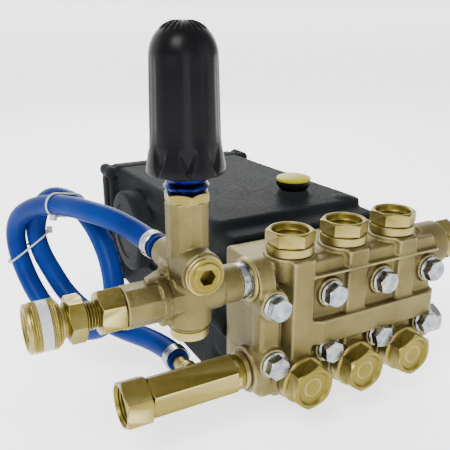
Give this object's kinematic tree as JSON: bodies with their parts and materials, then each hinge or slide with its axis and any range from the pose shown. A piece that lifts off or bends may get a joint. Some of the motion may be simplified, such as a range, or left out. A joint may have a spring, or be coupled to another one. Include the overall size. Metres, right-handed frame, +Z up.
{
  "type": "triplex plunger pump",
  "caption": "Triplex plunger pump with brass valve manifold, unloader valve with adjusting knob, quick coupler, inlet swivel fitting and looped bypass hose.",
  "frame": {"origin": "centre of the crankcase's flat base face", "axes": "+Z up, X along the crankshaft with the drive shaft leaving toward +X, -Y toward the valve manifold"},
  "size_m": [0.3045, 0.3048, 0.2452],
  "materials": {
    "cast_brass": "sand-cast, matt",
    "machined_brass": "machined, bright",
    "case_paint": "dark grey paint on rough casting",
    "zinc": "zinc plated",
    "steel": "ground",
    "ceramic": "polished ceramic",
    "black_plastic": "satin black moulding",
    "yellow_plastic": "moulded",
    "clear_plastic": "clear, oil behind",
    "blue_anodised": "anodised",
    "rubber": "nitrile",
    "blue_hose": "smooth hose cover"
  },
  "bodies": {
    "pump": {"crankcase": "case_paint", "rear_cover": "case_paint", "left_bearing_cover": "case_paint", "right_bearing_cover": "case_paint", "left_bearing": "steel", "right_bearing": "steel", "shaft_oil_seal": "rubber", "plunger_seal_1": "rubber", "plunger_seal_2": "rubber", "plunger_seal_3": "rubber", "sight_glass": "clear_plastic", "oil_drain_plug": "zinc", "head_bolt_1": "zinc", "head_bolt_2": "zinc", "head_bolt_3": "zinc", "head_bolt_4": "zinc", "head_bolt_5": "zinc", "head_bolt_6": "zinc", "head_bolt_7": "zinc", "head_bolt_8": "zinc", "inlet_plug": "zinc", "discharge_nipple": "zinc", "upper_hose_clamp": "zinc", "lower_hose_clamp": "zinc", "manifold": "cast_brass", "unloader_body": "cast_brass", "top_valve_cap_1": "machined_brass", "top_valve_cap_2": "machined_brass", "top_valve_cap_3": "machined_brass", "bottom_valve_cap_1": "machined_brass", "bottom_valve_cap_2": "machined_brass", "bottom_valve_cap_3": "machined_brass", "discharge_plug": "machined_brass", "unloader_bottom_cap": "machined_brass", "unloader_front_plug": "machined_brass", "outlet_adaptor": "machined_brass", "coupler_body": "machined_brass", "inlet_adaptor": "machined_brass", "upper_hose_barb": "machined_brass", "lower_hose_barb": "machined_brass", "adjust_sleeve": "blue_anodised", "bypass_hose": "blue_hose"},
    "crank_assembly": {"crankshaft": "steel"},
    "knob": {"adjust_knob": "black_plastic"},
    "unloader_spool": {"unloader_piston": "steel"},
    "coupler_lock": {"coupler_sleeve": "machined_brass"},
    "swivel_nut": {"inlet_swivel_nut": "machined_brass"},
    "filler_cap": {"oil_cap": "yellow_plastic"},
    "rod_1": {"connecting_rod_1": "steel"},
    "plunger_rod_1": {"plunger_1": "ceramic"},
    "outlet_check_1": {"discharge_valve_1": "steel"},
    "inlet_check_1": {"suction_valve_1": "steel"},
    "rod_2": {"connecting_rod_2": "steel"},
    "plunger_rod_2": {"plunger_2": "ceramic"},
    "outlet_check_2": {"discharge_valve_2": "steel"},
    "inlet_check_2": {"suction_valve_2": "steel"},
    "rod_3": {"connecting_rod_3": "steel"},
    "plunger_rod_3": {"plunger_3": "ceramic"},
    "outlet_check_3": {"discharge_valve_3": "steel"},
    "inlet_check_3": {"suction_valve_3": "steel"}
  },
  "joints": [
    {"name": "crankshaft_spin", "type": "hinge", "parent": "pump", "child": "crank_assembly", "pos_m": [0, 0.055, 0.071], "axis": [1, 0, 0], "continuous": true},
    {"name": "rod_1_swing", "type": "hinge", "parent": "crank_assembly", "child": "rod_1", "pos_m": [-0.04, 0.061, 0.071], "axis": [1, 0, 0], "continuous": true},
    {"name": "rod_2_swing", "type": "hinge", "parent": "crank_assembly", "child": "rod_2", "pos_m": [0, 0.052, 0.0762], "axis": [1, 0, 0], "continuous": true},
    {"name": "rod_3_swing", "type": "hinge", "parent": "crank_assembly", "child": "rod_3", "pos_m": [0.04, 0.052, 0.0658], "axis": [1, 0, 0], "continuous": true},
    {"name": "plunger_1_stroke", "type": "slide", "parent": "pump", "child": "plunger_rod_1", "axis": [0, 1, 0], "range_m": [-0.006, 0.006]},
    {"name": "plunger_2_stroke", "type": "slide", "parent": "pump", "child": "plunger_rod_2", "axis": [0, 1, 0], "range_m": [-0.006, 0.006]},
    {"name": "plunger_3_stroke", "type": "slide", "parent": "pump", "child": "plunger_rod_3", "axis": [0, 1, 0], "range_m": [-0.006, 0.006]},
    {"name": "discharge_valve_1_lift", "type": "slide", "parent": "pump", "child": "outlet_check_1", "axis": [0, 0, 1], "range_m": [0, 0.002], "stiffness_N_per_m": 120},
    {"name": "discharge_valve_2_lift", "type": "slide", "parent": "pump", "child": "outlet_check_2", "axis": [0, 0, 1], "range_m": [0, 0.002], "stiffness_N_per_m": 120},
    {"name": "discharge_valve_3_lift", "type": "slide", "parent": "pump", "child": "outlet_check_3", "axis": [0, 0, 1], "range_m": [0, 0.002], "stiffness_N_per_m": 120},
    {"name": "suction_valve_1_lift", "type": "slide", "parent": "pump", "child": "inlet_check_1", "axis": [0, 1, 0], "range_m": [0, 0.002], "stiffness_N_per_m": 120},
    {"name": "suction_valve_2_lift", "type": "slide", "parent": "pump", "child": "inlet_check_2", "axis": [0, 1, 0], "range_m": [0, 0.002], "stiffness_N_per_m": 120},
    {"name": "suction_valve_3_lift", "type": "slide", "parent": "pump", "child": "inlet_check_3", "axis": [0, 1, 0], "range_m": [0, 0.002], "stiffness_N_per_m": 120},
    {"name": "pressure_knob_turn", "type": "hinge", "parent": "pump", "child": "knob", "pos_m": [-0.1065, -0.144, 0.206], "axis": [0, 0, 1], "range_deg": [-540, 540]},
    {"name": "unloader_piston_travel", "type": "slide", "parent": "pump", "child": "unloader_spool", "axis": [0, 0, 1], "range_m": [0, 0.003], "stiffness_N_per_m": 2000},
    {"name": "coupler_sleeve_pull", "type": "slide", "parent": "pump", "child": "coupler_lock", "axis": [1, 0, 0], "range_m": [0, 0.003], "stiffness_N_per_m": 2000},
    {"name": "inlet_nut_spin", "type": "hinge", "parent": "pump", "child": "swivel_nut", "pos_m": [-0.141, -0.144, 0.0425], "axis": [1, 0, 0], "continuous": true},
    {"name": "oil_cap_turn", "type": "hinge", "parent": "pump", "child": "filler_cap", "pos_m": [0.022, -0.056, 0.124], "axis": [0, 0, 1], "range_deg": [0, 900]}
  ],
  "couplings": [
    {"joint": "rod_1_swing", "follows": "crankshaft_spin", "ratio": -1},
    {"joint": "rod_2_swing", "follows": "crankshaft_spin", "ratio": -1},
    {"joint": "rod_3_swing", "follows": "crankshaft_spin", "ratio": -1}
  ]
}
